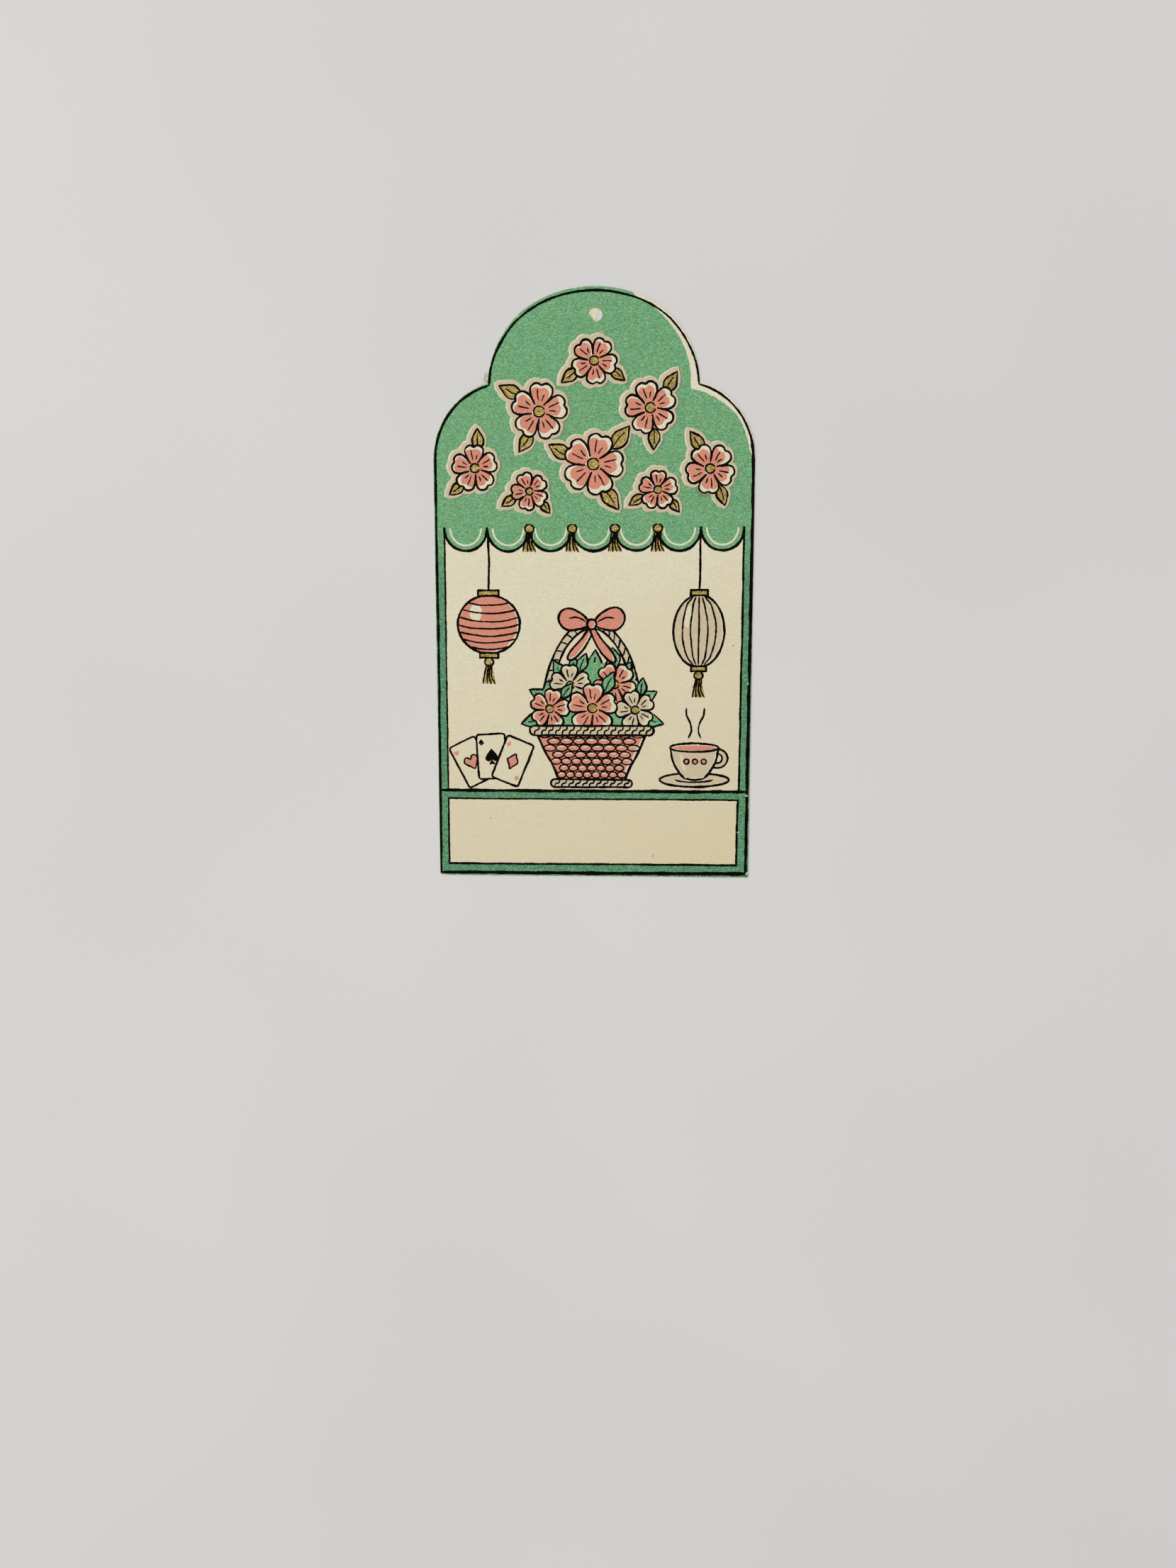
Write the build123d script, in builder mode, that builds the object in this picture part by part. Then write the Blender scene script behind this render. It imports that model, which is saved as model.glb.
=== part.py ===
"""A die-cut bridge tally card: one sheet of stiff card stock, lying on its back.

X runs across the card, Y up the card towards its crown, and Z out of the printed face.
The origin is the middle of the card's extents, on the plain back that it rests on.
All lengths are in millimetres and all angles in degrees.
"""

from build123d import *
import math
import os

# Sheet: the whole blank
card_width = 76.2
card_height = 139.7
stock_thickness = 0.4
foot_corner_radius = 0.4

# Crown: one broad lobe between two shoulder lobes, all measured down from the apex
crown_top_radius = 30.3
crown_top_half_angle = 20.5
notch_drop = 21.6
notch_half_span = 24.9
notch_root_radius = 0.25
shoulder_drop = 38.95

# Cut edge: the cutting rule rolls the front arris over and leaves the back one crisp
arris_radius = 0.08

# Nib: the torn tie that held the blank in its sheet, left standing just above one notch
nib_reach = 0.65
nib_height = 1.9
nib_rise = 0.35
nib_thickness = 0.22
nib_root = 0.3

# Torn end of the nib, as shares of its reach and its height
nib_end_shares = [(0.0, 1.0), (0.3, 0.72), (0.85, 0.62), (0.7, 0.5), (1.0, 0.34), (0.35, 0.18), (0.0, 0.0)]

# Cord hole: a round punch near the apex, half closed by its own torn flap
cord_hole_drop = 6.4
cord_hole_offset = 0.6
punch_radius = 1.52
flap_lean = 16
flap_overhang = 0.2
flap_hinge_depth = 0.06
flap_free_depth = 0.24

# Torn rim round the flap, as shares of the punch radius from the hole's centre.
# It starts and ends in the open part of the hole, so only its left side shows.
torn_rim_shares = [
    (0.55, 0.80),
    (0.08, 0.95),
    (-0.32, 0.96),
    (-0.74, 0.79),
    (-1.09, 0.42),
    (-1.00, 0.05),
    (-0.97, -0.27),
    (-0.70, -0.47),
    (-0.27, -0.63),
    (-0.24, -0.95),
    (0.18, -0.80),
    (0.54, -0.82),
]

# Places worked out from the sizes above
apex_y = card_height / 2
foot_y = -card_height / 2
side_x = card_width / 2
shoulder = (side_x, apex_y - shoulder_drop)
notch_y = apex_y - notch_drop
crown_top_centre = (0, apex_y - crown_top_radius)
crown_top_start = 90 - crown_top_half_angle
hole_axes = Plane((cord_hole_offset, apex_y - cord_hole_drop, stock_thickness)).rotated((0, 0, -flap_lean))

with BuildPart() as tally_card:
    # The blank's outline: half of it is drawn and mirrored about the centre line
    with BuildSketch() as blank:
        with BuildLine():
            crown_top = CenterArc(crown_top_centre, crown_top_radius, crown_top_start, crown_top_half_angle)
            TangentArc(crown_top @ 0, (notch_half_span, notch_y), tangent=crown_top % 0 * -1)
            TangentArc(shoulder, (notch_half_span, notch_y), tangent=(0, 1))
            Polyline(shoulder, (side_x, foot_y), (0, foot_y))
            mirror(about=Plane.YZ)
        make_face()

        # Where two cutting rules meet, the corner is never a perfect point
        for notch_x in (-notch_half_span, notch_half_span):
            fillet(blank.vertices().sort_by_distance((notch_x, notch_y))[0], notch_root_radius)
        fillet(blank.vertices().group_by(Axis.Y)[0], foot_corner_radius)
    extrude(amount=stock_thickness)
    fillet(tally_card.faces().sort_by(Axis.Z)[-1].outer_wire().edges(), arris_radius)

    # The nib: a tuft of torn fibre at mid thickness, rooted a little inside the left edge
    with BuildSketch(Plane((-notch_half_span, notch_y + nib_rise, (stock_thickness - nib_thickness) / 2))):
        with BuildLine():
            torn_end = Polyline([(-x * nib_reach, y * nib_height) for x, y in nib_end_shares])
            Polyline(torn_end @ 1, (nib_root, 0), (nib_root, nib_height), torn_end @ 0)
        make_face()
    extrude(amount=nib_thickness)

    # The flap's torn surface slopes down from its hinge on the left to its loose edge
    flap_fall = flap_free_depth - flap_hinge_depth
    flap_width = punch_radius + flap_overhang
    centre_depth = flap_hinge_depth + flap_fall * punch_radius / flap_width
    flap_slope = math.degrees(math.atan2(flap_fall, flap_width))
    with BuildSketch(hole_axes.offset(-centre_depth).rotated((0, flap_slope, 0))):
        with BuildLine():
            Polyline([(x * punch_radius, y * punch_radius) for x, y in torn_rim_shares], close=True)
        make_face()
    extrude(amount=stock_thickness, mode=Mode.SUBTRACT)

    # The open part of the hole: the punch's circle, up to the flap's loose edge
    with BuildSketch(hole_axes):
        Circle(punch_radius)
        with Locations((flap_overhang, 0)):
            Rectangle(punch_radius, 2 * punch_radius, align=(Align.MIN, Align.CENTER), mode=Mode.INTERSECT)
    extrude(amount=-stock_thickness, mode=Mode.SUBTRACT)

tally_card.part.label = "tally_card"

os.makedirs("parts", exist_ok=True)
export_step(tally_card.part, "parts/tally_card.step")
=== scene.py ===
# %% [markdown]
# # A bridge tally card
# A tally card kept the score of each player on a bridge evening, and often hung from a cord.
# This one is a single sheet of cream card stock with a lobed crown, cut out with a steel die.
# It was printed before it was cut, with one plate for each of five inks.
# The sheet itself comes from model.glb, with its outline, its cord hole and its rolled edge.
# Everything added here is ink and loose fibre, so nearly all of the work is drawing.

# %% Load the imported model
import bpy
import itertools
import math
from mathutils import Matrix, Vector, geometry, noise


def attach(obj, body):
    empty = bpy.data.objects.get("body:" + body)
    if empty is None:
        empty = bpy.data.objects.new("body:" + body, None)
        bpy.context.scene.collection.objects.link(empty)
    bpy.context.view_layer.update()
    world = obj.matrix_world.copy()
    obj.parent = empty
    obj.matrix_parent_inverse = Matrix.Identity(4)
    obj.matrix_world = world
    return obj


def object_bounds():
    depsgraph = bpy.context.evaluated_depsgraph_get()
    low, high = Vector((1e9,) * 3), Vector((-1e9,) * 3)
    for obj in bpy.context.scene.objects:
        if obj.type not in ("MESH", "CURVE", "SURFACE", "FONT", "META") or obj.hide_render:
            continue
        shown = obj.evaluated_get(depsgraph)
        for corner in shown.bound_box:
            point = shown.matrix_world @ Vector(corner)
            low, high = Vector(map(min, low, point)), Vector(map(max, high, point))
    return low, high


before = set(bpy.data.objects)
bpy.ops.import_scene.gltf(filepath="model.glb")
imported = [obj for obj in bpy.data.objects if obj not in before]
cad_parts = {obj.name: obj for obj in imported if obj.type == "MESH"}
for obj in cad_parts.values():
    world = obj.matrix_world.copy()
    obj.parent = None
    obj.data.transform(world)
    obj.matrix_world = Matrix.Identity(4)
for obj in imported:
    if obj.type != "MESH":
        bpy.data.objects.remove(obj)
cad_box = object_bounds()
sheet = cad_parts["tally_card"]
MM = 0.001
foot_y, face_z = cad_box[0].y, cad_box[1].z
card_width, card_height = [(cad_box[1][i] - cad_box[0][i]) / MM for i in (0, 1)]
print(f"sheet {card_width:.1f} x {card_height:.1f} mm, printed face at {face_z / MM:.2f} mm")

# %% [markdown]
# ## The sheet's outline
# The print stops where the sheet does, so the drawing needs the sheet's outline and its hole.
# They could be typed in again, but then they would drift apart from the sheet.
# Reading them from the flat top face keeps one truth: its border edges, chained, are the loops.
# All drawing is in millimetres, x from the centre line and y up from the foot.

# %% Chain the border edges of the flat face
def border_loops(mesh):
    """The closed border loops of the mesh's flat top face, longest first, in millimetres."""
    uses = {}
    for face in mesh.polygons:
        if face.normal.z > 0.9999 and abs(face.center.z - face_z) < 1e-7:
            for a, b in face.edge_keys:
                ends = [tuple(round(c / MM, 4) for c in mesh.vertices[i].co[:2]) for i in (a, b)]
                uses.setdefault(frozenset(ends), []).append(ends)
    onward = {}
    for ends in (found[0] for found in uses.values() if len(found) == 1):
        for a, b in (ends, ends[::-1]):
            onward.setdefault(a, []).append(b)
    loops = []
    while onward:
        here = next(iter(onward))
        loop, last = [], None
        while here in onward:
            ways = onward.pop(here)
            loop.append(Vector(here) - Vector((0, foot_y / MM)))
            here, last = (ways[1] if ways[0] == last else ways[0]), here
        loops.append(loop)
    return sorted((anticlockwise(loop) for loop in loops), key=len_mm, reverse=True)


def area_mm2(loop):
    return sum(a.cross(b) for a, b in zip(loop, loop[1:] + loop[:1])) / 2


def anticlockwise(loop):
    """The loop turned anticlockwise, from an outer point with a left turn, where its fill is inside."""
    loop = loop if area_mm2(loop) > 0 else loop[::-1]
    for ways in ((0, -1), (1, 0), (0, 1), (-1, 0), (1, 1), (-1, -1), (1, -1), (-1, 1)):
        i = max(range(len(loop)), key=lambda n: loop[n].dot(Vector(ways)))
        before, here, after = loop[i - 1], loop[i], loop[(i + 1) % len(loop)]
        if (here - before).cross(after - here) > 1e-7:
            return loop[i:] + loop[:i]
    return loop


def len_mm(loop):
    return sum((a - b).length for a, b in zip(loop, loop[1:] + loop[:1]))


outline, cord_hole = border_loops(sheet.data)[:2]
print(f"outline of {len(outline)} points, {len_mm(outline):.0f} mm round")
print(f"cord hole {len_mm(cord_hole):.1f} mm round")

# %% [markdown]
# ## A hand at the drawing board
# The artwork of such a card was drawn with a pen and cut with a knife, so no edge on it is even.
# Smooth noise gives that: it drifts slowly along a line, and each stroke reads another row of it.
# Nothing here is random in the usual sense, so the card comes out the same on every run.

# %% Wavering lines and the shapes they follow
stroke_rows = itertools.count()
noise_gain, row_step = 1.6, 3.71  # noise seldom passes 0.6, and rows this far apart share nothing


def waver(row, gone, wave, reach):
    """A smooth offset up to about reach, so far along a stroke in millimetres, changing each wave."""
    return reach * noise_gain * noise.noise(Vector((gone / wave, row * row_step, 0.3)))


def along(points, step=0.4, closed=False):
    """A smooth line through the given points, its own points about step millimetres apart."""
    knots = [Vector(p) for p in points]
    line = []
    for i in range(len(knots) - (not closed)):
        a, b = knots[i], knots[(i + 1) % len(knots)]
        before = knots[i - 1] if i or closed else a
        after = knots[(i + 2) % len(knots)] if i + 2 < len(knots) or closed else b
        third = (b - a).length / 3
        pulls = a + (b - before).normalized() * third, b - (after - a).normalized() * third
        line += geometry.interpolate_bezier(a, *pulls, b, max(2, math.ceil(3 * third / step) + 1))[:-1]
    return line if closed else line + [knots[-1]]


def oval(centre, across, up, start=0, sweep=360, step=0.4):
    """Points round an oval from start, in degrees anticlockwise. A full turn doesn't repeat its first."""
    count = max(8, math.ceil(math.radians(abs(sweep)) * max(across, up) / step))
    turns = [math.radians(start + sweep * i / count) for i in range(count + (abs(sweep) < 360))]
    return [Vector(centre) + Vector((across * math.cos(t), up * math.sin(t))) for t in turns]


def placed(shape, centre, turn=0, scale=1):
    """A shape drawn about the origin, scaled, turned by degrees and moved to its centre."""
    spin = Matrix.Rotation(math.radians(turn), 2)
    return [Vector(centre) + spin @ (Vector(p) * scale) for p in shape]


def outward(run, i, closed=False):
    """The way to the right of the run at point i, which is outwards on an anticlockwise loop."""
    last = len(run) - 1
    after = (i + 1) % len(run) if closed else min(i + 1, last)
    way = run[after] - run[i - 1 if i or closed else 0]
    return Vector((way.y, -way.x)).normalized()


def grown(loop, by):
    return [here + outward(loop, i, True) * by for i, here in enumerate(loop)]


print(f"an oval 10 mm across is drawn from {len(oval((0, 0), 5, 5))} points")

# %% [markdown]
# ## Five plates
# Each ink has its own plate, and a plate is a list of shapes in the order they were cut.
# A shape either carries ink or clears what lies under it, and the last one to cover a spot decides.
# That is a painter's rule, so an object in front hides the one behind it, as in any pen drawing.
# Under the press a line spreads by nearly a tenth of a millimetre a side, so thin lines gain most.

# %% Plates and patches
plates = {name: [] for name in ("green", "beige", "coral", "gold", "black")}


def cut(plate, loop, inked=True):
    plates[plate].append((anticlockwise([Vector(p) for p in loop]), inked))


def patch(plate, loop, inked=True, rough=0.07, wave=0.9):
    """A shape on one plate, its edge as uneven as a knife leaves it."""
    row, gone, edge = next(stroke_rows), 0, []
    for i, here in enumerate(loop):
        gone += (here - loop[i - 1]).length if i else 0
        off = waver(row, gone, wave, rough) + waver(row + 0.5, gone, 0.3, 0.02)
        edge.append(here + outward(loop, i, True) * off)
    cut(plate, edge, inked)


def wipe(loop):
    """Clears every plate behind something that stands in front."""
    for plate in plates:
        cut(plate, loop, inked=False)


print("plates:", ", ".join(plates))

# %% Pen strokes
ink_spread = 0.08


def pen(points, width=0.42, closed=False, wander=0.07, taper=0.55, step=0.33, spread=ink_spread):
    """One line of black: its middle drifts, it swells and thins, and each edge is a little ragged."""
    line = along(points, step, closed)
    whole = sum((b - a).length for a, b in zip(line, line[1:]))
    row, gone, rails = next(stroke_rows), 0, []
    for i, here in enumerate(line):
        gone += (here - line[i - 1]).length if i else 0
        side = -outward(line, i, closed)
        left = 1 if closed else taper + (1 - taper) * min(1, min(gone, whole - gone) / (2 * width))
        half = (width / 2 * (1 + waver(row, gone, 2.6, 0.3)) + spread) * left
        middle = here + side * waver(row + 0.25, gone, 5, wander)
        reach = [half + waver(row + 0.5 + sign / 9, gone, 0.5, 0.055) for sign in (1, -1)]
        rails.append([middle + side * reach[0], middle - side * reach[1]])
    for (l0, r0), (l1, r1) in zip(rails, rails[1:] + rails[:1] * closed):
        cut("black", [l0, r0, r1, l1])
    if not closed:
        for left, right in (rails[0], rails[-1]):
            cut("black", oval((left + right) / 2, *[(left - right).length / 2] * 2, step=0.1))


def dot(centre, across):
    cut("black", oval(centre, across, across, step=0.12))


print(f"the press adds {2 * ink_spread:.2f} mm to the width of a line")

# %% [markdown]
# ## The border and the key lines
# The key line is the black line that holds the picture together.
# On the crown it runs just inside the cut edge, and it's the sheet's own outline, moved inwards.
# The sheet was cut a little above where the artist meant, so the gap is widest under the apex.
# A shift shows up as a gap that depends on which way the edge faces, and the function says just that.

# %% Split the outline at its notches
start = min(range(len(outline)), key=lambda i: (round(outline[i].y, 2), outline[i].x))
outline = outline[start:] + outline[:start]


def turns_in(i):
    """True where the anticlockwise outline turns right, as it does only in the roots of the notches."""
    before, here, after = outline[i - 1], outline[i], outline[(i + 1) % len(outline)]
    return (here - before).cross(after - here) < -1e-3


roots = [i for i in range(len(outline)) if turns_in(i)]
right_root = [i for i in roots if outline[i].x > 0]
left_root = [i for i in roots if outline[i].x < 0]
shoulder_y = 97
right_shoulder = [p for p in outline[: right_root[0] + 1] if p.y > shoulder_y]
crown = outline[right_root[-1] : left_root[0] + 1]
left_shoulder = [p for p in outline[left_root[-1] :] if p.y > shoulder_y]
print(f"crown of {len(crown)} points, from notch to notch {crown[0].x - crown[-1].x:.1f} mm")


# %% Draw the key line
def inset(run, gap, shift=(0, 0)):
    """An outline run moved inwards by a gap, then all of it by a shift, both in millimetres."""
    ways = [outward(run, i) for i in range(len(run))]
    return [here - way * (gap - Vector(shift).dot(way)) for here, way in zip(run, ways)]


def joined(first, second, by=2.5):
    """Two runs, the end of one and the start of the other carried straight on to where they cross."""
    first = [*first, first[-1] + (first[-1] - first[-2]).normalized() * by]
    second = [second[0] + (second[0] - second[1]).normalized() * by, *second]
    for i, (a, b) in enumerate(zip(first, first[1:])):
        for j, (c, d) in enumerate(zip(second, second[1:])):
            meet = geometry.intersect_line_line_2d(a, b, c, d)
            if meet:
                return first[: i + 1] + [meet], [meet] + second[j + 1 :]
    return first, second


right_key = inset(right_shoulder, 0.33, (0, -0.25))
crown_key = inset(crown, 0.15, (0.05, -0.75))
left_key = inset(left_shoulder, 0.4, (0, -0.1))
right_key, crown_key = joined(right_key, crown_key)
crown_key, left_key = joined(crown_key, left_key)
side = card_width / 2
foot_line, ground_line, window_top = 0.8, 21.35, 84.6
right_line = [(side - 0.6, foot_line), (side - 0.58, 33), (side - 0.46, 66), (side - 0.36, 86)]
left_line = [(-side + 0.46, 80), (-side + 0.55, 55), (-side + 0.42, 30), (-side + 0.3, foot_line)]
pen(right_line + right_key[:4], 0.62, wander=0.06)
pen(right_line[-1:] + right_key, 0.35, wander=0.05)
pen([p for p in crown_key if p.x > 2], 0.33, wander=0.06)
pen([p for p in crown_key if p.x < 9], 0.43, wander=0.06)
pen(left_key + left_line, 0.45, wander=0.05)
along_foot = [(-side + 0.3, foot_line - 0.05), (0, foot_line), (side - 0.3, foot_line + 0.14)]
pen(along_foot, 0.72, wander=0.05)
print(f"key line of {len(right_key) + len(crown_key) + len(left_key)} points")

# %% [markdown]
# ## The name panel and the picture's frame
# Under the picture is a blank panel for the player's name, and round both runs a green band.
# The green plate is one large field with two windows cleared in it, as a printer would cut it.
# On the right of the crown it stops short of the key line, and leaves a bare cream strip inside it.
# At the top and on the left it runs off the cut edge, as a plate with some bleed should.

# %% Ruled lines
band_left, band_right = -side + 2.36, side - 2.6
under_picture = [(-side + 0.3, ground_line), (0, ground_line - 0.06), (side - 0.5, ground_line - 0.05)]
pen(under_picture, 0.64, wander=0.06)
panel_low, panel_high = 3.0, 19.3
panel_left, panel_right = -side + 2.4, side - 2.8
for a, b, width in (
    ((panel_left, panel_high), (panel_right, panel_high), 0.26),
    ((panel_left, panel_high), (panel_left - 0.06, panel_low), 0.29),
    ((panel_left, panel_low), (panel_right - 0.15, panel_low + 0.08), 0.37),
    ((panel_right, panel_high), (panel_right - 0.15, panel_low), 0.42),
    ((band_left, ground_line), (band_left + 0.05, window_top), 0.24),
    ((band_right, ground_line), (band_right + 0.3, window_top), 0.37),
):
    pen([a, (Vector(a) + Vector(b)) / 2, b], width, wander=0.06, taper=0.9)
print(f"name panel {panel_right - panel_left:.1f} x {panel_high - panel_low:.1f} mm")

# %% The green field
bare_strip = ((98, -1.0), (100.8, 0.5), (103, 1.3), (111, 1.35), (114.8, 1.8), (118, 2.0), (123, 1.85))
bare_strip += ((127.5, 1.6), (131.8, 1.5), (135, 1.2), (137.4, 0.95), (138.2, 0.1), (139.2, -1.5))


def short_of_cut(height):
    """How far the green stops short of the cut edge on the right, in millimetres, by the height."""
    for (low, a), (high, b) in zip(bare_strip, bare_strip[1:]):
        if height <= high:
            return a + (b - a) * max(0, height - low) / (high - low)
    return bare_strip[-1][1]


def green_edge(run):
    return [here - outward(run, i) * short_of_cut(here.y) for i, here in enumerate(run)]


right_green, crown_green = joined(green_edge(right_shoulder), green_edge([p for p in crown if p.x > 3]))
bleed = 2
foot_to_right = [(-side - bleed, 0.35), (side + bleed, -0.8), (side + bleed, 72), (side + bleed, 90)]
over_the_top = [(0, card_height + bleed), (-side - bleed, card_height + bleed), (-side - bleed, 60)]
green_field = along(foot_to_right) + along(right_green) + along([*crown_green, *over_the_top])
patch("green", green_field, rough=0.1)
panel_window = [(-35.5, 3.1), (0, 3.2), (35.0, 3.4), (35.1, 11)]
panel_window += [(35.2, 19.15), (0, 19.05), (-35.5, 19.1), (-35.5, 11)]
corners = [Vector(p) for p in panel_window]
edges = [along([a, corners[(i + 1) % len(corners)]]) for i, a in enumerate(corners)]
patch("green", [p for edge in edges for p in edge[:-1]], False)
print(f"green field of {area_mm2(green_field):.0f} square mm before the windows are cleared")

# %% [markdown]
# ## A scalloped awning
# The green field ends above the picture in a row of scallops, like the edge of a garden awning.
# Each is half an oval, so one function gives the black line, the green's own edge and the cream trim.

# %% Seven scallops
scallops, drop = 7, 5.4
awning_left, awning_right = band_left + 0.05, band_right + 0.3
half_scallop = (awning_right - awning_left) / scallops / 2
middle_xs = [awning_left + half_scallop * (2 * i + 1) for i in range(scallops)]
scallop_middles = [Vector((x, window_top)) for x in middle_xs]


def scallop(middle, smaller=0):
    return oval(middle, half_scallop - smaller, drop - smaller, 180, 180)


window = [(band_left + 0.12, ground_line), (band_left + 0.02, 50), (band_left - 0.12, window_top)]
window += [p + Vector((-0.12, 0.08)) for middle in scallop_middles for p in scallop(middle, -0.12)]
window += [(band_right + 0.25, window_top), (band_right - 0.12, ground_line)]
window = [Vector(p) for p in window]
patch("green", anticlockwise(window), False, rough=0.05)
for middle in scallop_middles:
    pen(scallop(middle), 0.5, wander=0.09, taper=0.8)
    patch("green", scallop(middle, 1.15) + scallop(middle, 1.6)[::-1], False, rough=0.04)
print(f"{scallops} scallops, {2 * half_scallop:.1f} mm wide")

# %% [markdown]
# ## Blossoms with gold leaves
# The pattern on the green is a common one: five-petal blossoms, each with two or three gold leaves.
# The green plate has a hole round each spray and the beige plate fills it with a margin,
# because bright coral printed on green would turn to mud.
# The green plate lies a little to the left, so a bare sliver shows on one side of each spray
# and green over beige on the other.

# %% A leaf and a petal, drawn once at a length of 1
def mirrored(half):
    """A closed anticlockwise shape from one side of it, given as points from its base to its tip."""
    edge = along([(x, -y) for x, y in half], step=0.09)
    return edge + [Vector((p.x, -p.y)) for p in edge[-2:0:-1]]


leaf_shape = mirrored([(0, 0), (0.22, 0.2), (0.5, 0.26), (0.78, 0.13), (1, 0)])
petal_shape = mirrored([(0.12, 0), (0.3, 0.2), (0.56, 0.37), (0.82, 0.4), (0.99, 0.2), (0.93, 0)])
print(f"a leaf of {len(leaf_shape)} points and a petal of {len(petal_shape)}")

# %% A leaf with its margin
plate_shift = Vector((-0.36, 0.14))


def shifted(shape, share=1):
    """A shape as a plate out of register prints it, moved by a share of the plate's shift."""
    return [p + plate_shift * share for p in shape]


def margin(shape, by):
    """The beige margin round a shape, and the hole for it in the green."""
    patch("green", shifted(grown(shape, by)), False, rough=0.1, wave=0.7)
    patch("beige", grown(shape, by), rough=0.12, wave=0.7)


def leaf(base, length, turn, ink="gold", on_green=True):
    shape = placed(leaf_shape, base, turn, length)
    if on_green:
        margin(shape, 1.05)
    else:
        wipe(grown(shape, 0.2))
    patch(ink, shifted(grown(shape, -0.12), 0.5), rough=0.09)
    half = len(shape) // 2
    pen(shape[: half + 1 : 2] + [shape[half]], 0.36)
    pen([shape[half], *shape[half + 2 :: 2], shape[0]], 0.25)
    pen(placed([(0.04, 0), (0.4, 0.03), (0.74, 0)], base, turn, length), 0.16, taper=0.3)


print(f"the green plate is {plate_shift.length:.2f} mm out of register")

# %% Eight sprays on the green
fifth = 360 // 5


def toward(turn):
    """A step of one millimetre in a direction given in degrees."""
    return Vector((math.cos(math.radians(turn)), math.sin(math.radians(turn))))


def blossom(centre, reach, turn, leaves, ink="coral", on_green=True):
    """Five petals round a gold middle, with leaves behind them at the given turns in degrees."""
    centre = Vector(centre)
    petals = [placed(petal_shape, centre, turn + fifth * i, reach) for i in range(5)]
    for petal in petals:
        if on_green:
            margin(petal, 1.1)
    for i, way in enumerate(leaves):
        stem = centre + toward(way) * reach * 0.78
        length, lean = reach * (0.95 - 0.1 * (i % 2)), way + 14 * (-1) ** i
        leaf(stem, length, lean, "gold" if on_green else "green", on_green)
    for petal in petals:
        wipe(petal if on_green else grown(petal, 0.15))
    wipe(oval(centre, reach * 0.3, reach * 0.3))
    for i, petal in enumerate(petals):
        base = centre + plate_shift * (1 - i % 2)
        inner = placed(petal_shape, base, turn + fifth * i + 4, reach * 0.87)
        patch(ink, [p + (centre - p) * 0.03 for p in inner], rough=0.16, wave=1.2)
        pen(petal[2:-2:2], 0.35, wander=0.1)
        for bend in (-0.1, 0.09):
            vein = [(0.36, bend * 0.6), (0.55, bend * 1.1), (0.7 + bend, bend * 1.5)]
            pen(placed(vein, centre, turn + fifth * i, reach), 0.17, taper=0.3)
    for plate in plates:
        cut(plate, oval(centre, reach * 0.2, reach * 0.2, step=0.2), plate == "gold")
    pen(oval(centre, reach * 0.2, reach * 0.19, 20, 330, step=0.25), 0.24)
    for way in range(0, 360, fifth):
        tip = placed([(0.3, 0)], centre, turn + way + fifth / 2, reach)[0]
        dot(tip, 0.17)


sprays = (
    ((-12.8, 111.6), 6.5, 12, (140, 250)),
    ((13.4, 112.2), 6.0, 30, (45, 282)),
    ((0.2, 123.0), 5.3, -12, (205, 335)),
    ((-28.2, 98.6), 5.4, 20, (78, 232)),
    ((27.6, 98.2), 5.7, 50, (112, 300)),
    ((0.0, 99.4), 7.1, 0, (38, 164, 292)),
    ((-15.2, 93.2), 4.4, 40, (200, 320)),
    ((15.3, 93.4), 4.5, 15, (200, 322)),
)
for centre, reach, turn, leaves in sprays:
    blossom(centre, reach, turn, leaves)
print(len(sprays), "sprays on the green")

# %% [markdown]
# ## Paper lanterns
# Two paper lanterns hang from the awning on cords, with gold collars and tassels.
# A round lantern is ribbed across and a tall one along, and both kinds of rib come from one idea:
# a rib on a ball seen from the side is an arc, flatter towards the middle.

# %% Collars and tassels
def box_shape(centre, across, up, lean=1.0):
    """A small block, its top so many times as wide as its foot."""
    x, y = centre
    half, low, high = across / 2, y - up / 2, y + up / 2
    top = half * lean
    return [Vector(p) for p in ((x - half, low), (x + half, low), (x + top, high), (x - top, high))]


def collar(centre, across, up=1.3):
    shape = box_shape(centre, across, up)
    wipe(shape)
    cut("gold", shape)
    for a, b in zip(shape, shape[1:] + shape[:1]):
        pen([a, (a + b) / 2, b], 0.38, taper=1, wander=0.04)


def tassel(top, length):
    top = Vector(top)
    skirt = box_shape(top - Vector((0, length * 0.64)), length * 0.5, length * 0.72, 0.45)
    cut("gold", skirt)
    for share in (0.02, 0.34, 0.66, 0.98):
        foot = skirt[0].lerp(skirt[1], share) - Vector((0, 0.25 * (share % 0.6)))
        pen([skirt[3].lerp(skirt[2], share), skirt[3].lerp(foot, 0.6), foot], 0.26, wander=0.1)
    knob = top - Vector((0, length * 0.16)), length * 0.17, length * 0.15
    wipe(oval(*knob, step=0.2))
    cut("gold", oval(*knob, step=0.2))
    pen(oval(*knob, 90, 350, step=0.3), 0.28)


print("collars and tassels are cut as gold blocks")


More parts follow.
